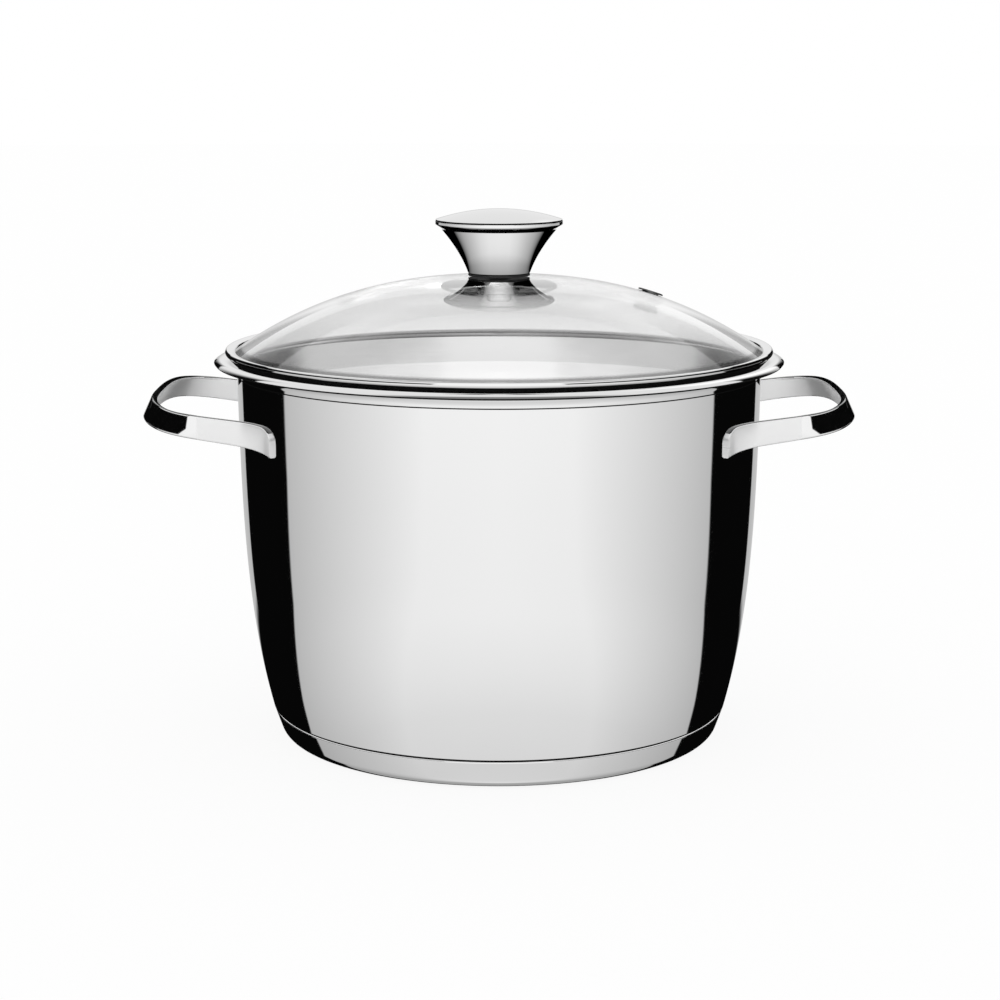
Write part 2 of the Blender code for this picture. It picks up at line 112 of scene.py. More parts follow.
# Lid
BAND_OVERHANG = 4.4
BAND_BEAD_RADIUS = 1.1
BAND_BEAD_HEIGHT = 2.7
BEAD_START_ANGLE = 75.0
BEAD_END_ANGLE = -60.0
BAND_SHEET = 0.7
BAND_GRIP = 3.1
BAND_COVER = 0.9
SEAT_START_ANGLE = 150.0
SEAT_END_ANGLE = 128.0
SKIRT_CLEARANCE = 0.7
SKIRT_DEPTH = 13.3
SHOULDER_SLOPE = 0.5
PAINTED_GROOVE_SIDES = 2
GLASS_THICKNESS = 4.0
GLASS_EDGE_HEIGHT = 1.95
DOME_HEIGHT = 28.4
DOME_POWER = 2.47
GLASS_HOLE_RADIUS = 4.0

# Steam vent
VENT_DISTANCE = 62.0
VENT_ANGLE = 18.0
VENT_HOLE_RADIUS = 3.6
VENT_FLANGE_RADIUS = 5.0
VENT_SHEET = 0.6
VENT_RING_THICKNESS = 0.6
VENT_UNDER_GAP = 0.5
VENT_BORE_ROUNDING = 0.54
VENT_FLANGE_ROUNDING = 0.48
VENT_RING_ROUNDING = 0.2

# Knob and its fixing
KNOB_BASE_RADIUS = 11.8
KNOB_TOP_RADIUS = 22.25
KNOB_CONE_HEIGHT = 16.9
KNOB_BASE_FLARE = 0.36
KNOB_SHEET = 0.8
KNOB_FLOOR = 1.2
KNOB_CAP_RADIUS = 24.3
KNOB_CAP_EDGE_HEIGHT = 3.0
KNOB_CAP_BAND = 1.7
KNOB_GROOVE_HEIGHT = 0.6
KNOB_GROOVE_DEPTH = 0.5
KNOB_GROOVE_ROUNDING = 0.12
KNOB_JOINT_DROP = 0.4
KNOB_CAP_RISE = 4.0
KNOB_CAP_SEAT = 2.8
KNOB_EDGE_ROUNDING = 0.25
KNOB_GASKET_THICKNESS = 0.8
SCREW_RADIUS = 2.5
SCREW_HEAD_RADIUS = 4.8
SCREW_HEAD_HEIGHT = 2.6
NUT_HEIGHT = 5.0
SCREW_END = 0.8
SCREW_CHAMFER = 0.5
WASHER_RADIUS = 7.5
WASHER_THICKNESS = 1.0
WASHER_ROUNDING = 0.25
BUSH_FLANGE_RADIUS = 8.0
BUSH_FLANGE_THICKNESS = 1.0

# Materials: greys, roughness, distances from the axis, and the scale of marks as repeats in a metre
NOISE_RANGE = (0.3, 0.7)
LINE_STRETCH = 9.0
LINE_DETAIL = 3.0
LINE_SHARE = 0.55
WIPE_SCALE = 38.0
WIPE_DETAIL = 4.0
GLASS_IOR = 1.52
GLASS_DENSITY = 2.0
SMEAR_SCALE = 26.0
SMEAR_DETAIL = 5.0
SMEAR_ROUGHNESS = (0.0, 0.03)
COAT_IOR = 2.6
COAT_ROUGHNESS = 0.01
COAT_RADII = (46.0, 62.0)
EDGE_SHADE = 0.15
EDGE_SHADE_RADII = (97.4, 99.0)
SHADOW_GREY = 0.008
SHADOW_ROUGHNESS = (0.5, 0.7)
SHADOW_SCALE = 200.0
SILICONE_GREY = 0.018
SILICONE_ROUGHNESS = (0.42, 0.62)
GRAIN_SCALE = 2400.0
GRAIN_DETAIL = 3.0
GRAIN_DEPTH = 0.02
WHITE = (1, 1, 1, 1)
PALE = (0.9, 0.9, 0.9, 1)

# Studio light, as greys by degrees of turn from the camera's side of the room and by degrees of rise.
# A flag has its first and last turn, its lowest and highest rise, and the blur of its sides.
ROOM_STRENGTH = 1.1
DIFFUSE_STRENGTH = 0.95
FLOOR_RADIUS = 6000.0
FLOOR_DROP = 0.3
FLOOR_SHADE = 0.12
SKY_FALLOFF = ((0, 0.80), (60, 0.80), (68, 0.22), (90, 0.22))
WINDOW_GREY = 1.10
WINDOW = (157.0, 171.0, 12.0, 34.0)
WINDOW_BLUR = (2.0, 6.0)
SKY_TURN = (80.0, 120.0)
SKY_RISE = (1.0, 8.0)
FLAG_GREY = 0.002
FLAG_START = 106.0
FLAG_END = 152.0
FLAG_BOTTOM = -47.0
FLAG_TOP = -5.5
FLAG_BLUR = (0.8, 1.0)
HIGH_FLAG = (27.0, 150.0, -2.5, 32.0, 1.0)
BACK_FLAG = (140.0, 165.0, -6.4, 2.5, 1.0)
LOW_FLAG = (150.0, 182.0, -47.0, -15.3, 1.0)
SKIRT_FLAG = (112.0, 150.0, -6.0, -2.0, 1.0)
FAR_FLAG = (140.0, 168.0, 2.0, 12.0, 2.5)
SOFT_FLAG = (140.0, 159.0, 2.0, 32.0, 7.0)
RISE_BLUR = 0.7
FLAG_LARGEST_SHIFT = 20.0
FLAG_SHIFT = ((-90, 1.0), (-45, 1.0), (-34, 0.85), (-27, 0.62), (-19, 0.15), (-12, 0.0), (90, 0.0))
FRONT_FALLOFF = (
    (0, 0.97), (32, 0.95), (50, 0.84), (75, 0.70), (99, 0.57), (112, 0.50), (157, 0.50), (180, 0.60),
)
HEIGHT_FALLOFF = (
    (-90, 0.80), (-56, 0.70), (-37, 0.79), (-30, 0.87), (-23, 0.935), (-14, 0.955), (-8, 1.0),
)
ONE_BOUNCE = 0.5
TWO_BOUNCES = 1.5

# Card round the knob, which shades its flare: greys by degrees from the front and by distance
CARD_RADII = (12.0, 130.0)
CARD_HEIGHT = 0.15
CARD_TURN = (
    (0, 0.95), (20, 0.93), (36, 0.82), (54, 0.63), (73, 0.45), (85, 0.27), (92, 0.12), (96, 0.0),
)
CARD_SPREAD = ((12, 0.3), (13.5, 0.5), (17.3, 0.68), (20, 0.95), (22, 1.0))
CARD_NARROWING = 2.6

# Dark cards behind the handles, seen only in gloss, which paint dark reflections on the top edges of their
# loops
LOOP_CARD_SIDES = (121.0, 150.0)
LOOP_CARD_HEIGHTS = (126.0, 150.0)
LOOP_CARD_DISTANCE = 60.0

# Sizes that follow from the ones above
RIM_TOP = RIM_START + RIM_ROLL_RADIUS + WALL_THICKNESS
ROLL_CENTRE = (WALL_RADIUS + RIM_ROLL_RADIUS, RIM_START)
CORE_BOTTOM = CAP_THICKNESS + FIT_GAP
FLOOR_UNDERSIDE = CORE_BOTTOM + CORE_THICKNESS + FIT_GAP
BODY_INSET = CAP_THICKNESS + FIT_GAP
HANDLE_END = WALL_RADIUS + HANDLE_REACH
LEG_START = WALL_RADIUS + HANDLE_LEG_START
STRAP_HEIGHT = RIM_TOP + HANDLE_HEIGHT
BAND_RADIUS = WALL_RADIUS + BAND_OVERHANG
GLASS_RADIUS = BAND_RADIUS - BAND_GRIP
SKIRT_RADIUS = WALL_RADIUS - WALL_THICKNESS - SKIRT_CLEARANCE
GLASS_TOP = GLASS_EDGE_HEIGHT + DOME_HEIGHT
KNOB_GASKET_BOTTOM = GLASS_TOP + FIT_GAP
KNOB_BOTTOM = KNOB_GASKET_BOTTOM + KNOB_GASKET_THICKNESS + FIT_GAP
NUT_BOTTOM = KNOB_BOTTOM + KNOB_FLOOR + FIT_GAP
BUSH_TOP = GLASS_TOP - GLASS_THICKNESS - FIT_GAP
WASHER_TOP = BUSH_TOP - BUSH_FLANGE_THICKNESS - FIT_GAP
SCREW_HEAD_TOP = WASHER_TOP - WASHER_THICKNESS - FIT_GAP
SCREW_BORE = SCREW_RADIUS + FIT_GAP
LID_PLACE = Matrix.Translation((0, 0, RIM_TOP * MM))


# Outlines and meshes


def arc(centre, radius, start, end, steps):
    """Points (distance from the axis, height) on an arc, both ends included."""
    angles = [math.radians(start + (end - start) * i / steps) for i in range(steps + 1)]
    return [(centre[0] + radius * math.cos(a), centre[1] + radius * math.sin(a)) for a in angles]


def between(start, end, steps):
    return [start + (end - start) * i / steps for i in range(steps + 1)]


def rounded(corner, before, after, radius, steps=EDGE_STEPS):
    """Points that round off a corner of an outline, with one on each side that keeps the flats flat."""
    corner = Vector(corner)
    back = (Vector(before) - corner).normalized()
    onward = (Vector(after) - corner).normalized()
    half = back.angle(onward) / 2
    reach = radius / math.tan(half)
    centre = corner + (back + onward).normalized() * radius / math.sin(half)
    first = corner + back * reach - centre
    last = corner + onward * reach - centre
    turn = first.angle_signed(last)
    keep_flat = reach + radius * FLAT_MARGIN
    points = [tuple(corner + back * keep_flat)]
    for share in between(0, 1, steps):
        angle = -turn * share
        x = first.x * math.cos(angle) - first.y * math.sin(angle)
        y = first.x * math.sin(angle) + first.y * math.cos(angle)
        points.append((centre.x + x, centre.y + y))
    return points + [tuple(corner + onward * keep_flat)]


def eased(outline, roundings):
    """A closed outline with the corners at the given places rounded off."""
    points = []
    for index, corner in enumerate(outline):
        radius = roundings.get(index)
        if radius:
            after = outline[(index + 1) % len(outline)]
            points += rounded(corner, outline[index - 1], after, radius)
        else:
            points.append(corner)
    return points


def turned(outline, segments):
    """A mesh turned about Z from a closed outline of (distance from the axis, height) points."""
    bm = bmesh.new()
    rings = []
    turns = [math.tau * i / segments for i in range(segments)]
    for radius, height in outline:
        if radius < MERGE_DISTANCE:
            rings.append([bm.verts.new((0, 0, height))] * segments)
        else:
            rings.append([bm.verts.new((radius * math.cos(t), radius * math.sin(t), height)) for t in turns])
    for first, second in zip(rings, rings[1:] + rings[:1]):
        for i in range(segments):
            j = (i + 1) % segments
            corners = list(dict.fromkeys((first[i], first[j], second[j], second[i])))
            if len(corners) > 2:
                bm.faces.new(corners)
    return bm


def lofted(rings):
    """A closed mesh through rings that have the same number of points."""
    bm = bmesh.new()
    loops = [[bm.verts.new(point) for point in ring] for ring in rings]
    count = len(loops[0])
    for first, second in zip(loops, loops[1:]):
        for i in range(count):
            j = (i + 1) % count
            bm.faces.new((first[i], first[j], second[j], second[i]))
    bm.faces.new(loops[0])
    bm.faces.new(loops[-1])
    return bm


def add_object(name, bm):
    """A linked object in metres from a bmesh in millimetres, which is used up."""
    bmesh.ops.scale(bm, vec=(MM, MM, MM), verts=bm.verts)
    mesh = bpy.data.meshes.new(name)
    bm.to_mesh(mesh)
    bm.free()
    thing = bpy.data.objects.new(name, mesh)
    bpy.context.scene.collection.objects.link(thing)
    return thing


def add_piece(name, bm, materials, body, node, matrix=None):
    """Makes a smooth piece from a bmesh, which rides on a body and stands for a CAD node."""
    bmesh.ops.recalc_face_normals(bm, faces=bm.faces)
    piece = add_object(name, bm)
    piece.data.shade_smooth()
    piece.data.set_sharp_from_angle(angle=math.radians(SHARP_ANGLE))
    for material in materials:
        piece.data.materials.append(material)
    if matrix is not None:
        piece.matrix_world = matrix
    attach(piece, body)
    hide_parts(node)
    return piece


def mark_faces(bm, slot, chosen):
    """Gives the faces whose middle passes the test another of the piece's materials."""
    for face in bm.faces:
        if chosen(face.calc_center_median()):
            face.material_index = slot


# Node materials


def add_node(tree, kind, inputs=None, **settings):
    """A shader node with its settings, its values and the sockets that feed it."""
    node = tree.nodes.new(kind)
    for name, value in settings.items():
        setattr(node, name, value)
    for name, value in (inputs or {}).items():
        if isinstance(value, bpy.types.NodeSocket):
            tree.links.new(value, node.inputs[name])
        else:
            node.inputs[name].default_value = value
    return node


def math_node(tree, operation, *values):
    return add_node(tree, "ShaderNodeMath", dict(enumerate(values)), operation=operation).outputs[0]


def new_material(name, grey, metallic):
    material = bpy.data.materials.new(name)
    material.use_nodes = True
    tree = material.node_tree
    shader = tree.nodes["Principled BSDF"]
    shader.inputs["Base Color"].default_value = (grey, grey, grey, 1.0)
    shader.inputs["Metallic"].default_value = metallic
    return material, tree, shader


def bare_material(name):
    material = bpy.data.materials.new(name)
    material.use_nodes = True
    material.node_tree.nodes.clear()
    return material, material.node_tree


def vector_node(tree, operation, *values):
    return add_node(tree, "ShaderNodeVectorMath", dict(enumerate(values)), operation=operation)


def level_part(tree, place):
    """The part of a place that is square to the axis, and its distance from the axis."""
    level = vector_node(tree, "MULTIPLY", place, (1, 1, 0)).outputs["Vector"]
    return level, vector_node(tree, "LENGTH", level).outputs["Value"]


def line_pattern(tree, lines, flat):
    """Noise drawn out round the axis into fine lines, spaced by height, or by distance where flat."""
    place = add_node(tree, "ShaderNodeTexCoord").outputs["Object"]
    height = add_node(tree, "ShaderNodeSeparateXYZ", {"Vector": place}).outputs["Z"]
    level, distance = level_part(tree, place)
    around = vector_node(tree, "NORMALIZE", level).outputs["Vector"]
    drawn = vector_node(tree, "MULTIPLY", around, (LINE_STRETCH, LINE_STRETCH, 0)).outputs["Vector"]
    across = math_node(tree, "MULTIPLY", distance if flat else height, lines)
    spaced = add_node(tree, "ShaderNodeCombineXYZ", {"Z": across}).outputs["Vector"]
    vector = vector_node(tree, "ADD", drawn, spaced).outputs["Vector"]
    noise = add_node(tree, "ShaderNodeTexNoise", {"Vector": vector, "Scale": 1.0, "Detail": LINE_DETAIL})
    return noise.outputs["Fac"]


def cloud_pattern(tree, scale, detail):
    place = add_node(tree, "ShaderNodeTexCoord").outputs["Object"]
    noise = add_node(tree, "ShaderNodeTexNoise", {"Vector": place, "Scale": scale, "Detail": detail})
    return noise.outputs["Fac"]


def mapped(tree, value, low, high):
    """A noise pattern's value brought to between two amounts."""
    bottom, top = NOISE_RANGE
    inputs = {"Value": value, "From Min": bottom, "From Max": top, "To Min": low, "To Max": high}
    return add_node(tree, "ShaderNodeMapRange", inputs).outputs["Result"]


def faded(tree, value, low, high, first=0.0, last=1.0):
    """An amount that goes smoothly from the first to the last while a value goes from low to high."""
    inputs = {"Value": value, "From Min": low, "From Max": high, "To Min": first, "To Max": last}
    return add_node(tree, "ShaderNodeMapRange", inputs, interpolation_type="SMOOTHSTEP").outputs["Result"]


def add_bump(tree, shader, height, depth):
    bump = add_node(tree, "ShaderNodeBump", {"Height": height, "Strength": 1.0, "Distance": depth * MM})
    tree.links.new(bump.outputs["Normal"], shader.inputs["Normal"])


def steel(name, grey, smooth, rough, line_depth, lines=2600.0, flat=False, metallic=1.0):
    """Steel whose roughness and surface follow fine polishing lines and broad wiping marks."""
    material, tree, shader = new_material(name, grey, metallic)
    fine = line_pattern(tree, lines, flat)
    fine_share = math_node(tree, "MULTIPLY", fine, LINE_SHARE)
    broad = cloud_pattern(tree, WIPE_SCALE, WIPE_DETAIL)
    broad_share = math_node(tree, "MULTIPLY", broad, 1 - LINE_SHARE)
    mixed = math_node(tree, "ADD", fine_share, broad_share)
    tree.links.new(mapped(tree, mixed, smooth, rough), shader.inputs["Roughness"])
    add_bump(tree, shader, fine, line_depth)
    return material


def gap_shadow():
    """Painted shade: a near-black colour without gloss, for steel deep in a gap, where no light gets."""
    material, tree, shader = new_material("shadowed_steel", SHADOW_GREY, 0.0)
    shader.inputs["Specular IOR Level"].default_value = 0.0
    grain = cloud_pattern(tree, SHADOW_SCALE, GRAIN_DETAIL)
    tree.links.new(mapped(tree, grain, *SHADOW_ROUGHNESS), shader.inputs["Roughness"])
    return material


def glass():
    """Clear glass with more gloss round the knob, and the shade of the band painted into its colour along
    its edge.
    """
    material, tree, shader = new_material("clear_glass", 1.0, 0.0)
    shader.inputs["Transmission Weight"].default_value = 1.0
    shader.inputs["IOR"].default_value = GLASS_IOR
    shader.inputs["Specular IOR Level"].default_value = 1.0
    shader.inputs["Coat IOR"].default_value = COAT_IOR
    shader.inputs["Coat Roughness"].default_value = COAT_ROUGHNESS
    _, distance = level_part(tree, add_node(tree, "ShaderNodeTexCoord").outputs["Object"])
    away = math_node(tree, "DIVIDE", distance, MM)
    tree.links.new(faded(tree, away, *COAT_RADII, 1.0, 0.0), shader.inputs["Coat Weight"])
    # painted shade: the glass's colour darkens towards its edge
    tree.links.new(faded(tree, away, *EDGE_SHADE_RADII, 1.0, EDGE_SHADE), shader.inputs["Base Color"])
    smears = cloud_pattern(tree, SMEAR_SCALE, SMEAR_DETAIL)
    tree.links.new(mapped(tree, smears, *SMEAR_ROUGHNESS), shader.inputs["Roughness"])
    depth = add_node(tree, "ShaderNodeVolumeAbsorption", {"Color": (0, 0, 0, 1), "Density": GLASS_DENSITY})
    tree.links.new(depth.outputs[0], tree.nodes["Material Output"].inputs["Volume"])
    return material


def silicone():
    material, tree, shader = new_material("black_silicone", SILICONE_GREY, 0.0)
    grain = cloud_pattern(tree, GRAIN_SCALE, GRAIN_DETAIL)
    tree.links.new(mapped(tree, grain, *SILICONE_ROUGHNESS), shader.inputs["Roughness"])
    add_bump(tree, shader, grain, GRAIN_DEPTH)
    return material


POLISHED = steel("polished_steel", 0.84, 0.02, 0.05, 0.0003)
SATIN = steel("satin_steel", 0.97, 0.08, 0.15, 0.001)
BRUSHED = steel("brushed_steel", 0.90, 0.26, 0.36, 0.001, metallic=0.4)
DULL = steel("dull_steel", 0.84, 0.15, 0.24, 0.0005)
GROUND = steel("ground_steel", 0.70, 0.22, 0.36, 0.004, lines=2200.0, flat=True)
FASTENER = steel("fastener_steel", 0.66, 0.22, 0.34, 0.002, lines=4000.0, flat=True)
CORE_METAL = steel("core_aluminium", 0.73, 0.35, 0.50, 0.004)
DARK = steel("dark_steel", 0.16, 0.25, 0.40, 0.002)
# painted dark reflection for the handles' cut edges
PAINTED_DARK_EDGE = steel("painted_dark_edge_steel", 0.12, 0.04, 0.09, 0.0003)
# painted shade for gaps, grooves and edges
SHADOWED = gap_shadow()
GLASS = glass()
SILICONE = silicone()


# Pot body and base


def wall_radius(height):
    """Outside of the pot's wall at a height between the seam and the rim."""
    down = (RIM_START - height) / (RIM_START - SEAM_HEIGHT)
    return WALL_RADIUS - WALL_TAPER * down - WALL_BELLY * down**BELLY_POWER


def base_side(inset, corner_radius, floor, top):
    """The leaning side of the base and its lower corner, moved in by an inset, top to bottom."""
    lean = math.radians(CAP_SIDE_LEAN)

    def side(height):
        run = (SEAM_HEIGHT - height) * math.tan(lean)
        return wall_radius(SEAM_HEIGHT) - run - inset / math.cos(lean)

    centre_height = floor + corner_radius
    centre = (side(centre_height) - corner_radius / math.cos(lean), centre_height)
    return [(side(top), top)] + arc(centre, corner_radius, -CAP_SIDE_LEAN, -90, CORNER_STEPS)


def body_outline():
    shoulder = SEAM_HEIGHT + FLOOR_CORNER_RADIUS / 3
    roll_end = 180 - RIM_ROLL_ANGLE
    upper_roll = arc(ROLL_CENTRE, RIM_ROLL_RADIUS + WALL_THICKNESS, 180, roll_end, ROLL_STEPS)
    lower_roll = arc(ROLL_CENTRE, RIM_ROLL_RADIUS, roll_end, 180, ROLL_STEPS)
    inner_wall = [(wall_radius(z) - WALL_THICKNESS, z) for z in between(shoulder, RIM_START, WALL_STEPS)]
    crease = (WALL_RADIUS - RIM_CREASE_DEPTH, RIM_START - RIM_CREASE_HEIGHT / 2)
    wall_top = RIM_START - RIM_CREASE_HEIGHT
    outer_wall = [(wall_radius(z), z) for z in between(wall_top, SEAM_HEIGHT, WALL_STEPS)]
    floor_top = FLOOR_UNDERSIDE + WALL_THICKNESS
    inner_corner = FLOOR_CORNER_RADIUS - WALL_THICKNESS
    inner_base = base_side(BODY_INSET + WALL_THICKNESS, inner_corner, floor_top, SEAM_HEIGHT)
    outer_base = base_side(BODY_INSET, FLOOR_CORNER_RADIUS, FLOOR_UNDERSIDE, SEAM_HEIGHT)
    seam = rounded(outer_wall[-1], outer_wall[-2], outer_base[0], SEAM_ROUNDING)
    inside = [(0, floor_top)] + inner_base[::-1] + inner_wall + upper_roll[1:]
    outside = lower_roll + [crease] + outer_wall[:-1] + seam + outer_base + [(0, FLOOR_UNDERSIDE)]
    return inside + outside


def cap_outline():
    top = SEAM_HEIGHT - SEAM_SLOT
    inner_corner = CAP_CORNER_RADIUS - CAP_THICKNESS
    outer = base_side(0, CAP_CORNER_RADIUS, 0, top)
    inner = base_side(CAP_THICKNESS, inner_corner, CAP_THICKNESS, top)
    edge = rounded(outer[0], inner[0], outer[1], SEAM_ROUNDING)
    return edge + outer[1:] + [(0, 0), (0, CAP_THICKNESS)] + inner[::-1]


def inside_pot(middle):
    wall = wall_radius(max(middle.z, SEAM_HEIGHT)) - WALL_THICKNESS / 2
    above_floor = middle.z > FLOOR_UNDERSIDE + WALL_THICKNESS / 2
    return middle.z < RIM_START and above_floor and math.hypot(middle.x, middle.y) < wall


def painted_shade_on_pot(middle):
    """Faces that take painted shade: the cut edge of the rolled rim, the crease under it, and the slot over
    the base.
    """
    radius = math.hypot(middle.x, middle.y)
    from_roll = math.hypot(radius - ROLL_CENTRE[0], middle.z - ROLL_CENTRE[1])
    cut_edge = abs(from_roll - RIM_ROLL_RADIUS - WALL_THICKNESS / 2) < WALL_THICKNESS / 4
    if middle.z > RIM_START:
        return cut_edge
    if middle.z > RIM_START - RIM_CREASE_HEIGHT:
        return radius > WALL_RADIUS - WALL_THICKNESS / 2
    run = (SEAM_HEIGHT - middle.z) * math.tan(math.radians(CAP_SIDE_LEAN))
    inset = wall_radius(SEAM_HEIGHT) - run - radius
    return middle.z < SEAM_HEIGHT + SEAM_ROUNDING and inset < BODY_INSET + WALL_THICKNESS / 2


def add_pot():
    shell = turned(body_outline(), WALL_SEGMENTS)
    mark_faces(shell, 1, inside_pot)
    # painted shade, near black, on the rim's cut edge, the crease under it and the slot over the base
    mark_faces(shell, 2, painted_shade_on_pot)
    materials = [POLISHED, SATIN, SHADOWED]
    shell = add_piece("pot_shell", shell, materials, "pot", "pot_body")
    shell.visible_glossy = False
    pan = turned(cap_outline(), WALL_SEGMENTS)
    mark_faces(pan, 1, lambda middle: middle.z < CAP_THICKNESS / 2)
    pan = add_piece("base_pan", pan, [POLISHED, GROUND], "pot", "base_cap")
    pan.visible_glossy = False


# Strap handles


def loop_end():
    """Plan points of the strap's middle from its outer end to the start of a leg, as a superellipse."""
    lean_in = STRAP_WIDTH / 2 * math.sin(math.radians(HANDLE_LEAN))
    depth = HANDLE_END - STRAP_THICKNESS / 2 - lean_in - LEG_START
    half_span = HANDLE_HALF_SPAN - STRAP_THICKNESS / 2
    power = 2 / HANDLE_SQUARENESS
    points = []
    for angle in between(0, math.pi / 2, LOOP_STEPS):
        along = abs(math.cos(angle)) ** power
        across = math.sin(angle) ** power
        points.append((LEG_START + depth * along, -half_span * across))
    return points


def leg_and_foot():
    """Plan points from a leg's start, round its bend and along the wall to the end of the foot."""
    leg_side = -(HANDLE_HALF_SPAN - STRAP_THICKNESS / 2)
    foot_radius = wall_radius(STRAP_HEIGHT) + STRAP_THICKNESS / 2 - WELD_OVERLAP
    bend_side = leg_side - FOOT_BEND_RADIUS
    bend_along = math.sqrt((foot_radius + FOOT_BEND_RADIUS) ** 2 - bend_side**2)
    wall_angle = math.atan2(bend_side, bend_along)
    bend_end = 180 + math.degrees(wall_angle)
    bend = arc((bend_along, bend_side), FOOT_BEND_RADIUS, 90, bend_end, LOOP_STEPS)
    foot = []
    for turn in between(0, math.pi / 2, CORNER_STEPS)[1:]:
        angle = wall_angle - FOOT_LENGTH * math.sin(turn) / foot_radius
        foot.append((foot_radius * math.cos(angle), foot_radius * math.sin(angle)))
    return bend + foot


def strap_ring(point, outward, lean, length, total):
    """One rounded cross-section of the strap, at a length along its half from the outer end."""
    past = length - HANDLE_SLOPE_START
    drop = HANDLE_SLOPE * (past + math.hypot(past, HANDLE_SLOPE_EASE)) / 2
    share = max(0, past / (total - HANDLE_SLOPE_START))
    width = STRAP_WIDTH + (STRAP_FOOT_WIDTH - STRAP_WIDTH) * share**2
    into_corner = max(0, 1 - (total - length) / FOOT_CORNER_LENGTH)
    cut = FOOT_CORNER_DROP * (1 - math.sqrt(1 - into_corner**2))
    middle = Vector((point.x, point.y, STRAP_HEIGHT - drop))
    normal = Vector((outward.x, outward.y, 0))
    turn = math.radians(lean)
    up = Vector((0, 0, math.cos(turn))) - normal * math.sin(turn)
    out = normal * math.cos(turn) + Vector((0, 0, math.sin(turn)))
    top, bottom = width / 2 - cut, -width / 2
    side = STRAP_THICKNESS / 2
    r = STRAP_EDGE_RADIUS
    corners = ((side - r, top - r, 0), (r - side, top - r, 90))
    corners += ((r - side, bottom + r, 180), (side - r, bottom + r, 270))
    ring = []
    for across, above, start in corners:
        for x, z in arc((across, above), r, start, start + 90, EDGE_STEPS):
            ring.append(middle + out * x + up * z)
    return ring


def strap_sections():
    """The strap's cross-sections from one foot to the other, each as a ring of points."""
    half = [Vector(point) for point in loop_end() + leg_and_foot()]
    lengths = [0.0]
    for first, second in zip(half, half[1:]):
        lengths.append(lengths[-1] + (second - first).length)
    sections = []
    for index, point in enumerate(half):
        before = half[index - 1] if index else Vector((half[1].x, -half[1].y))
        after = half[min(index + 1, len(half) - 1)]
        along = (after - before).normalized()
        outward = Vector((-along.y, along.x))
        lean = HANDLE_LEAN * outward.x if index <= LOOP_STEPS else 0
        sections.append(strap_ring(point, outward, lean, lengths[index], lengths[-1]))
    mirrored = [[Vector((p.x, -p.y, p.z)) for p in ring] for ring in sections[:0:-1]]
    return mirrored + sections


def finish_strap_and_paint_edges(strap):
    """Gives the feet and the inside of the loop the brushed finish, and the cut edges, which face up or
    down, a painted dark reflection.
    """
    bmesh.ops.recalc_face_normals(strap, faces=strap.faces)
    for face in strap.faces:
        middle = face.calc_center_median()
        inward = Vector((WALL_RADIUS - middle.x, -middle.y, 0)).normalized()
        # painted dark reflection on the faces that look up or down
        if abs(face.normal.z) > EDGE_FACING:
            face.material_index = 2
        elif middle.x < WALL_RADIUS + BRUSHED_END or face.normal.dot(inward) > BRUSHED_INSIDE:
            face.material_index = 1


def add_handles():
    for side, turn in (("right", 0), ("left", math.pi)):
        strap = lofted(strap_sections())
        finish_strap_and_paint_edges(strap)
        matrix = Matrix.Rotation(turn, 4, "Z")
        name = f"strap_{side}"
        materials = [POLISHED, BRUSHED, PAINTED_DARK_EDGE]
        piece = add_piece(name, strap, materials, "pot", f"handle_{side}", matrix)
        piece.visible_glossy = False


# Lid


def dome_height(radius):
    return GLASS_TOP - DOME_HEIGHT * (radius / GLASS_RADIUS) ** DOME_POWER


def dome_normal(radius):
    """Direction square to the dome at a distance from its axis, as (outward, up)."""
    share = (radius / GLASS_RADIUS) ** (DOME_POWER - 1)
    slope = DOME_HEIGHT * DOME_POWER / GLASS_RADIUS * share
    return Vector((slope, 1)).normalized()


def dome_point(radius, offset):
    """A point an offset above the dome's outer face, as (distance from the axis, height)."""
    point = Vector((radius, dome_height(radius))) + dome_normal(radius) * offset
    return tuple(point)


def glass_outline():
    radii = between(GLASS_HOLE_RADIUS, GLASS_RADIUS, DOME_STEPS)
    outer = [dome_point(r, 0) for r in radii]
    inner = [dome_point(r, -GLASS_THICKNESS) for r in radii[1:]]
    inner.insert(0, (GLASS_HOLE_RADIUS, GLASS_TOP - GLASS_THICKNESS))
    return outer + inner[::-1]


def edge_gap():
    """The clearance between the glass's edge and the band, along the dome outwards."""
    outward, up = dome_normal(GLASS_RADIUS)
    return Vector((up, -outward)) * FIT_GAP


def band_outline():
    """The band's section: top lip, bead, seat on the rolled rim, skirt, and the groove for the glass."""
    bead = (BAND_RADIUS - BAND_BEAD_RADIUS, BAND_BEAD_HEIGHT)
    lip_inner = dome_point(GLASS_RADIUS - BAND_COVER, FIT_GAP)
    lip_outer = dome_point(GLASS_RADIUS - BAND_COVER, FIT_GAP + BAND_SHEET / 2)
    roll = (ROLL_CENTRE[0], RIM_START - RIM_TOP)
    seat_radius = RIM_ROLL_RADIUS + WALL_THICKNESS + FIT_GAP
    seat = arc(roll, seat_radius, SEAT_END_ANGLE, SEAT_START_ANGLE, CORNER_STEPS)
    skirt_top = seat[-1][1] - (seat[-1][0] - SKIRT_RADIUS) * SHOULDER_SLOPE
    skirt_inner = SKIRT_RADIUS - BAND_SHEET
    under_edge = dome_point(GLASS_RADIUS, -GLASS_THICKNESS - FIT_GAP)
    low_corner = Vector(under_edge) + edge_gap()
    high_corner = Vector(dome_point(GLASS_RADIUS, FIT_GAP)) + edge_gap()
    bead_arc = arc(bead, BAND_BEAD_RADIUS, BEAD_START_ANGLE, BEAD_END_ANGLE, CORNER_STEPS)
    outline = [lip_inner, lip_outer] + bead_arc + seat
    outline += [(SKIRT_RADIUS, skirt_top), (SKIRT_RADIUS, -SKIRT_DEPTH), (skirt_inner, -SKIRT_DEPTH)]
    outline += [(skirt_inner, under_edge[1]), tuple(low_corner), tuple(high_corner)]
    return outline


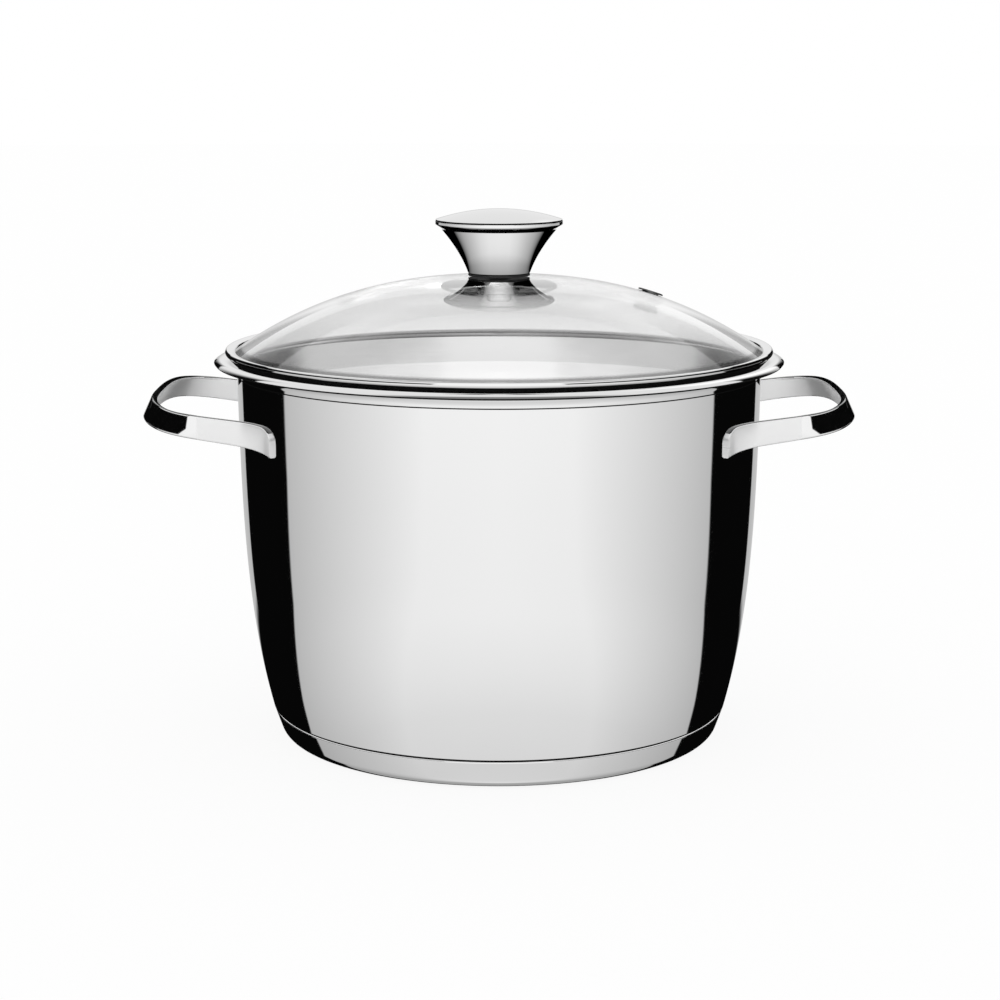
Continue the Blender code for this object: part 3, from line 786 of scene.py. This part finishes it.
def vent_matrix():
    """The vent's own frame: its origin on the dome's outer face and its Z square to the glass."""
    outward, up = dome_normal(VENT_DISTANCE)
    place = Matrix.Translation((VENT_DISTANCE * MM, 0, dome_height(VENT_DISTANCE) * MM))
    tilt = Matrix.Rotation(math.atan2(outward, up), 4, "Y")
    return LID_PLACE @ Matrix.Rotation(math.radians(VENT_ANGLE), 4, "Z") @ place @ tilt


def add_vent_hole(pane):
    """Cuts the vent's hole through the glass and keeps the result as the piece's mesh."""
    ends = ((0, -2 * GLASS_THICKNESS), (VENT_HOLE_RADIUS, -2 * GLASS_THICKNESS))
    outline = [*ends, (VENT_HOLE_RADIUS, GLASS_THICKNESS), (0, GLASS_THICKNESS)]
    drill_mesh = turned(outline, SMALL_SEGMENTS)
    bmesh.ops.recalc_face_normals(drill_mesh, faces=drill_mesh.faces)
    drill = add_object("vent_drill", drill_mesh)
    drill.matrix_world = vent_matrix()
    cut = pane.modifiers.new("vent_hole", "BOOLEAN")
    cut.operation = "DIFFERENCE"
    cut.object = drill
    bpy.context.view_layer.update()
    graph = bpy.context.evaluated_depsgraph_get()
    pane.data = bpy.data.meshes.new_from_object(pane.evaluated_get(graph))
    pane.data.set_sharp_from_angle(angle=math.radians(SHARP_ANGLE))
    pane.modifiers.clear()
    bpy.data.objects.remove(drill)


def painted_shade_under_bead(middle):
    bead_bottom = BAND_BEAD_HEIGHT - BAND_BEAD_RADIUS
    return middle.z < bead_bottom and math.hypot(middle.x, middle.y) > SKIRT_RADIUS


def inside_skirt(middle):
    return middle.z < 0 and math.hypot(middle.x, middle.y) < SKIRT_RADIUS - BAND_SHEET / 2


def add_lid():
    """The glass and its band, with painted shade under the bead and in the groove, and dull inside the
    skirt.
    """
    pane = turned(glass_outline(), WALL_SEGMENTS)
    pane = add_piece("glass_dome", pane, [GLASS], "lid", "lid_glass", LID_PLACE)
    add_vent_hole(pane)
    pane.visible_glossy = False
    band = turned(band_outline(), WALL_SEGMENTS)
    # painted shade, near black, under the bead
    mark_faces(band, 1, painted_shade_under_bead)
    mark_faces(band, 2, inside_skirt)
    # painted shade on the last sides of the band's outline, in the groove for the glass
    for face in list(band.faces)[-PAINTED_GROOVE_SIDES * WALL_SEGMENTS:]:
        face.material_index = 1
    materials = [POLISHED, SHADOWED, DULL]
    band = add_piece("steel_band", band, materials, "lid", "lid_band", LID_PLACE)
    band.visible_glossy = False


def add_vent():
    tube = VENT_HOLE_RADIUS - FIT_GAP
    bore = tube - VENT_SHEET
    top = FIT_GAP + VENT_SHEET
    ring_top = -GLASS_THICKNESS - VENT_UNDER_GAP
    ring_bottom = ring_top - VENT_RING_THICKNESS
    under = ring_bottom - FIT_GAP
    eyelet = [(bore, top), (VENT_FLANGE_RADIUS, top), (VENT_FLANGE_RADIUS, FIT_GAP)]
    eyelet += [(tube, FIT_GAP), (tube, under), (VENT_FLANGE_RADIUS, under)]
    eyelet += [(VENT_FLANGE_RADIUS, under - VENT_SHEET), (bore, under - VENT_SHEET)]
    roundings = {0: VENT_BORE_ROUNDING, 1: VENT_FLANGE_ROUNDING}
    roundings.update({6: VENT_FLANGE_ROUNDING, 7: VENT_BORE_ROUNDING})
    shape = turned(eased(eyelet, roundings), SMALL_SEGMENTS)
    add_piece("vent_rivet", shape, [DARK], "lid", "vent_eyelet", vent_matrix())
    section = [(VENT_HOLE_RADIUS, ring_bottom), (VENT_FLANGE_RADIUS, ring_bottom)]
    section += [(VENT_FLANGE_RADIUS, ring_top), (VENT_HOLE_RADIUS, ring_top)]
    ring = turned(eased(section, {1: VENT_RING_ROUNDING, 2: VENT_RING_ROUNDING}), SMALL_SEGMENTS)
    add_piece("vent_seal", ring, [SILICONE], "lid", "vent_gasket", vent_matrix())


# Knob and its fixing


def cone_radius(height):
    """Outside of the knob's flare at a height above its base."""
    curve = KNOB_TOP_RADIUS - KNOB_BASE_RADIUS - KNOB_BASE_FLARE * KNOB_CONE_HEIGHT
    return KNOB_BASE_RADIUS + KNOB_BASE_FLARE * height + curve * (height / KNOB_CONE_HEIGHT) ** 2


def cone_outline():
    height = KNOB_CONE_HEIGHT - KNOB_JOINT_DROP
    outer = [(cone_radius(z), KNOB_BOTTOM + z) for z in between(0, height, WALL_STEPS)]
    inner_heights = between(height, KNOB_FLOOR, WALL_STEPS)
    inner = [(cone_radius(z) - KNOB_SHEET, KNOB_BOTTOM + z) for z in inner_heights]
    floor = [(SCREW_BORE, KNOB_BOTTOM + KNOB_FLOOR), (SCREW_BORE, KNOB_BOTTOM)]
    return eased(outer + inner + floor, {0: KNOB_EDGE_ROUNDING})


def knob_cap_outline():
    """A shallow dome with an upright band and an edge that leans in to the flare, hollow below."""
    bottom = KNOB_BOTTOM + KNOB_CONE_HEIGHT + FIT_GAP
    edge = bottom + KNOB_CAP_EDGE_HEIGHT
    inner = KNOB_TOP_RADIUS - KNOB_CAP_SEAT

    def dome(radius):
        return edge + KNOB_CAP_RISE * (1 - (radius / KNOB_CAP_RADIUS) ** 2)

    top = [(r, dome(r)) for r in between(KNOB_CAP_RADIUS, 0, WALL_STEPS)]
    ceiling = [(r, dome(r) - KNOB_SHEET) for r in between(0, inner, CORNER_STEPS)]
    side = [(inner, bottom), (KNOB_TOP_RADIUS, bottom), (KNOB_CAP_RADIUS, edge - KNOB_CAP_BAND)]
    groove = [(KNOB_CAP_RADIUS, edge - KNOB_GROOVE_HEIGHT)]
    groove.append((KNOB_CAP_RADIUS - KNOB_GROOVE_DEPTH, edge - KNOB_GROOVE_HEIGHT / 2))
    corners = {2: KNOB_EDGE_ROUNDING, 3: KNOB_GROOVE_ROUNDING, 5: KNOB_GROOVE_ROUNDING}
    return eased(side + groove + top + ceiling, corners)


def painted_shade_on_knob(middle):
    """Faces that take painted shade: the joint over the flare, and the groove between the knob's band and
    its dome.
    """
    joint = KNOB_BOTTOM + KNOB_CONE_HEIGHT + FIT_GAP
    groove = joint + KNOB_CAP_EDGE_HEIGHT - KNOB_GROOVE_HEIGHT / 2
    radius = math.hypot(middle.x, middle.y)
    at_joint = abs(middle.z - joint) < MERGE_DISTANCE
    at_groove = abs(middle.z - groove) < KNOB_GROOVE_HEIGHT / 2
    inset = KNOB_CAP_RADIUS - radius
    return at_joint or (at_groove and KNOB_GROOVE_ROUNDING < inset < KNOB_GROOVE_DEPTH)


def screw_outline():
    """A pan-headed screw, head down."""
    end = NUT_BOTTOM + NUT_HEIGHT + SCREW_END
    bottom = SCREW_HEAD_TOP - SCREW_HEAD_HEIGHT
    crown = SCREW_HEAD_HEIGHT / 2
    edge = (SCREW_HEAD_RADIUS - crown, bottom + crown)
    head = [(SCREW_HEAD_RADIUS, SCREW_HEAD_TOP)] + arc(edge, crown, 0, -90, CORNER_STEPS)
    tip = [(0, end), (SCREW_RADIUS - SCREW_CHAMFER, end), (SCREW_RADIUS, end - SCREW_CHAMFER)]
    return tip + [(SCREW_RADIUS, SCREW_HEAD_TOP)] + head + [(0, bottom)]


def bush_outline():
    """A soft bush under the glass, whose collar keeps the screw off the edge of the hole."""
    collar = GLASS_HOLE_RADIUS - FIT_GAP
    bottom = BUSH_TOP - BUSH_FLANGE_THICKNESS
    collar_top = GLASS_TOP - FIT_GAP
    flange = [(BUSH_FLANGE_RADIUS, bottom), (BUSH_FLANGE_RADIUS, BUSH_TOP), (collar, BUSH_TOP)]
    outline = [(SCREW_BORE, bottom)] + flange + [(collar, collar_top), (SCREW_BORE, collar_top)]
    return eased(outline, {1: WASHER_ROUNDING, 2: WASHER_ROUNDING})


def washer_outline(inner, outer, bottom, top):
    section = [(inner, bottom), (outer, bottom), (outer, top), (inner, top)]
    return eased(section, {1: WASHER_ROUNDING, 2: WASHER_ROUNDING})


def add_knob():
    gasket_top = KNOB_GASKET_BOTTOM + KNOB_GASKET_THICKNESS
    gasket = washer_outline(SCREW_BORE, KNOB_BASE_RADIUS, KNOB_GASKET_BOTTOM, gasket_top)
    plate = washer_outline(SCREW_BORE, WASHER_RADIUS, WASHER_TOP - WASHER_THICKNESS, WASHER_TOP)
    pieces = (
        ("knob_flare", cone_outline(), KNOB_SEGMENTS, POLISHED, "knob_cone", "polished_steel"),
        ("knob_top", knob_cap_outline(), KNOB_SEGMENTS, POLISHED, "knob_cap", "polished_steel"),
        ("knob_seal", gasket, KNOB_SEGMENTS, SILICONE, "knob_gasket", "black_silicone"),
        ("lid_screw", screw_outline(), SMALL_SEGMENTS, FASTENER, "knob_screw", "satin_steel"),
        ("lid_washer", plate, SMALL_SEGMENTS, FASTENER, "knob_washer", "satin_steel"),
        ("lid_bush", bush_outline(), SMALL_SEGMENTS, SILICONE, "screw_bush", "black_silicone"),
    )
    for name, outline, segments, material, node, slot in pieces:
        shape = turned(outline, segments)
        materials = [material]
        if node == "knob_cap":
            # painted shade, near black, in the knob's joint and groove
            mark_faces(shape, 1, painted_shade_on_knob)
            materials.append(SHADOWED)
        add_piece(name, shape, materials, "lid", node, LID_PLACE)


def dress_hidden_nodes():
    """The two solids that stay as they are, closed in by their neighbours, take a node material."""
    for name, material in (("base_core", CORE_METAL), ("knob_nut", FASTENER)):
        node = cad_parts[name]
        node.visible_glossy = False
        node.data.materials.clear()
        node.data.materials.append(material)


# Studio


def ramp(tree, value, stops, low, high):
    """A grey that follows a value through pairs of value and grey between two limits."""
    inputs = {"Value": value, "From Min": low, "From Max": high}
    share = add_node(tree, "ShaderNodeMapRange", inputs).outputs["Result"]
    node = add_node(tree, "ShaderNodeValToRGB", {"Fac": share})
    elements = node.color_ramp.elements
    while len(elements) < len(stops):
        elements.new(0.5)
    for element, (position, grey) in zip(elements, stops):
        element.position = (position - low) / (high - low)
        element.color = (grey, grey, grey, 1.0)
    return node.outputs["Color"]


def window(tree, value, low, high, blur):
    """1 between two values and 0 outside them, with blurred sides."""
    opens = faded(tree, value, low - blur, low + blur)
    closes = faded(tree, value, high - blur, high + blur)
    return math_node(tree, "SUBTRACT", opens, closes)


def flag(tree, turn, rise, limits, turn_blur, rise_blur):
    """1 inside a stretch of turn and rise, and 0 outside it."""
    first, last, low, high = limits
    across = window(tree, turn, first, last, turn_blur)
    return math_node(tree, "MULTIPLY", across, window(tree, rise, low, high, rise_blur))


def turn_from_front(tree, x, y):
    """Degrees round the axis from the camera's side, to the right."""
    front = math_node(tree, "MULTIPLY", y, -1.0)
    return math_node(tree, "DEGREES", math_node(tree, "ARCTAN2", x, front))


def mix_greys(tree, share, first, second):
    inputs = {"Factor": share, "A": first, "B": second}
    return add_node(tree, "ShaderNodeMix", inputs, data_type="FLOAT").outputs["Result"]


def dark_flags(tree, turn, flag_turn, rise):
    """1 where a dark flag stands. One of them shows only through the glass, in the skirt."""
    side_flag = (FLAG_START, FLAG_END, FLAG_BOTTOM, FLAG_TOP)
    dark = flag(tree, flag_turn, rise, side_flag, *FLAG_BLUR)
    for *limits, blur in (HIGH_FLAG, BACK_FLAG, LOW_FLAG, FAR_FLAG, SOFT_FLAG):
        dark = math_node(tree, "MAXIMUM", dark, flag(tree, turn, rise, limits, blur, RISE_BLUR))
    passes = add_node(tree, "ShaderNodeLightPath").outputs["Transmission Depth"]
    glazed = math_node(tree, "GREATER_THAN", passes, ONE_BOUNCE)
    *limits, blur = SKIRT_FLAG
    skirt = math_node(tree, "MULTIPLY", flag(tree, turn, rise, limits, blur, RISE_BLUR), glazed)
    return math_node(tree, "MAXIMUM", dark, skirt)


def room_light(tree):
    """What polished steel sees: a bright front, sides that fall off, and dark flags beside the back."""
    direction = add_node(tree, "ShaderNodeTexCoord").outputs["Generated"]
    x, y, z = add_node(tree, "ShaderNodeSeparateXYZ", {"Vector": direction}).outputs
    turn = turn_from_front(tree, math_node(tree, "ABSOLUTE", x), y)
    rise = math_node(tree, "DEGREES", math_node(tree, "ARCSINE", z))
    shift = math_node(tree, "MULTIPLY", ramp(tree, rise, FLAG_SHIFT, -90, 90), FLAG_LARGEST_SHIFT)
    flag_turn = math_node(tree, "SUBTRACT", turn, shift)
    around = ramp(tree, flag_turn, FRONT_FALLOFF, 0, 180)
    lit = math_node(tree, "MULTIPLY", around, ramp(tree, rise, HEIGHT_FALLOFF, -90, 90))
    sky = math_node(tree, "MULTIPLY", faded(tree, rise, *SKY_RISE), faded(tree, turn, *SKY_TURN))
    lit = mix_greys(tree, sky, lit, ramp(tree, rise, SKY_FALLOFF, -90, 90))
    pane = flag(tree, turn_from_front(tree, x, y), rise, WINDOW, *WINDOW_BLUR)
    lit = mix_greys(tree, pane, lit, WINDOW_GREY)
    return mix_greys(tree, dark_flags(tree, turn, flag_turn, rise), lit, FLAG_GREY)


def add_world():
    """A white room, whose shaded sides show only in gloss."""
    world = bpy.data.worlds.new("studio")
    bpy.context.scene.world = world
    world.use_nodes = True
    tree = world.node_tree
    tree.nodes.clear()
    paths = add_node(tree, "ShaderNodeLightPath").outputs
    seen = add_node(tree, "ShaderNodeBackground", {"Color": WHITE, "Strength": 1.0})
    room = add_node(tree, "ShaderNodeBackground", {"Color": room_light(tree), "Strength": ROOM_STRENGTH})
    even = add_node(tree, "ShaderNodeBackground", {"Color": WHITE, "Strength": DIFFUSE_STRENGTH})
    mirrored = math_node(tree, "GREATER_THAN", paths["Glossy Depth"], ONE_BOUNCE)
    inner = add_node(tree, "ShaderNodeMixShader", {0: mirrored, 1: even.outputs[0], 2: room.outputs[0]})
    through = math_node(tree, "SUBTRACT", paths["Is Transmission Ray"], mirrored)
    direct = math_node(tree, "MAXIMUM", paths["Is Camera Ray"], through)
    mixed = add_node(tree, "ShaderNodeMixShader", {0: direct, 1: inner.outputs[0], 2: seen.outputs[0]})
    add_node(tree, "ShaderNodeOutputWorld", {"Surface": mixed.outputs[0]})


def seen_from_above(tree, shader):
    """A level surface's shader made clear from below."""
    clear = add_node(tree, "ShaderNodeBsdfTransparent")
    below = add_node(tree, "ShaderNodeNewGeometry").outputs["Backfacing"]
    return add_node(tree, "ShaderNodeMixShader", {0: below, 1: shader.outputs[0], 2: clear.outputs[0]})


def add_floor():
    bm = bmesh.new()
    bmesh.ops.create_circle(bm, cap_ends=True, segments=WALL_SEGMENTS, radius=FLOOR_RADIUS)
    floor = add_object("floor", bm)
    floor.location.z = -FLOOR_DROP * MM
    floor.visible_glossy = False
    material, tree = bare_material("pale_floor")
    paths = add_node(tree, "ShaderNodeLightPath").outputs
    direct = math_node(tree, "MAXIMUM", paths["Is Camera Ray"], paths["Is Transmission Ray"])
    pale = add_node(tree, "ShaderNodeBsdfDiffuse", {"Color": PALE})
    white = add_node(tree, "ShaderNodeBsdfDiffuse", {"Color": WHITE})
    glow = add_node(tree, "ShaderNodeEmission", {"Color": WHITE, "Strength": 1.0})
    seen = add_node(tree, "ShaderNodeMixShader", {0: FLOOR_SHADE, 1: glow.outputs[0], 2: white.outputs[0]})
    mixed = add_node(tree, "ShaderNodeMixShader", {0: direct, 1: pale.outputs[0], 2: seen.outputs[0]})
    shown = seen_from_above(tree, mixed)
    add_node(tree, "ShaderNodeOutputMaterial", {"Surface": shown.outputs[0]})
    floor.data.materials.append(material)


def gloss_only(name, bm, material):
    """A card that shows only in the gloss of the object."""
    card = add_object(name, bm)
    card.data.materials.append(material)
    for kind in ("camera", "diffuse", "transmission", "shadow", "volume_scatter"):
        setattr(card, f"visible_{kind}", False)


def card_light():
    """Light that falls off round the knob from the front, and towards its foot."""
    material, tree = bare_material("card_light")
    place = add_node(tree, "ShaderNodeTexCoord").outputs["Object"]
    x, y, _ = add_node(tree, "ShaderNodeSeparateXYZ", {"Vector": place}).outputs
    turn = turn_from_front(tree, math_node(tree, "ABSOLUTE", x), y)
    _, distance = level_part(tree, place)
    away = math_node(tree, "DIVIDE", distance, MM)
    # painted reflection: in a second reflection, as in the glass, the card's light is narrowed, so the
    # mirrored knob looks darker
    depth = add_node(tree, "ShaderNodeLightPath").outputs["Glossy Depth"]
    mirrored = math_node(tree, "GREATER_THAN", depth, TWO_BOUNCES)
    turn = math_node(tree, "MULTIPLY", turn, mix_greys(tree, mirrored, 1.0, CARD_NARROWING))
    spread = ramp(tree, away, CARD_SPREAD, *CARD_RADII)
    grey = math_node(tree, "MULTIPLY", ramp(tree, turn, CARD_TURN, 0, 180), spread)
    glow = add_node(tree, "ShaderNodeEmission", {"Color": WHITE, "Strength": grey})
    shown = seen_from_above(tree, glow)
    add_node(tree, "ShaderNodeOutputMaterial", {"Surface": shown.outputs[0]})
    return material


def add_card():
    """The level card over the glass round the knob, seen from above only."""
    bm = bmesh.new()
    height = RIM_TOP + GLASS_TOP + CARD_HEIGHT
    turns = [math.tau * i / KNOB_SEGMENTS for i in range(KNOB_SEGMENTS)]
    rings = []
    for radius in CARD_RADII:
        rings.append([bm.verts.new((radius * math.cos(t), radius * math.sin(t), height)) for t in turns])
    inner, outer = rings
    for i in range(KNOB_SEGMENTS):
        j = (i + 1) % KNOB_SEGMENTS
        bm.faces.new((inner[i], outer[i], outer[j], inner[j]))
    gloss_only("knob_card", bm, card_light())


def add_loop_cards():
    bm = bmesh.new()
    for side in (1, -1):
        corners = [(side * x, LOOP_CARD_DISTANCE, z) for x in LOOP_CARD_SIDES for z in LOOP_CARD_HEIGHTS]
        first, second, third, fourth = [bm.verts.new(corner) for corner in corners]
        bm.faces.new((first, second, fourth, third))
    # painted reflection: near-black cards, seen only in gloss
    gloss_only("loop_cards", bm, SHADOWED)


def add_camera():
    data = bpy.data.cameras.new("camera")
    data.lens = CAMERA_LENS
    camera = bpy.data.objects.new("camera", data)
    camera.location = Vector(CAMERA_PLACE) * MM
    camera.rotation_euler = (math.radians(CAMERA_PITCH), 0, 0)
    bpy.context.scene.collection.objects.link(camera)
    bpy.context.scene.camera = camera


bpy.context.scene.view_settings.view_transform = "Standard"
add_camera()
add_pot()
add_handles()
add_lid()
add_vent()
add_knob()
dress_hidden_nodes()
add_world()
add_floor()
add_card()
add_loop_cards()
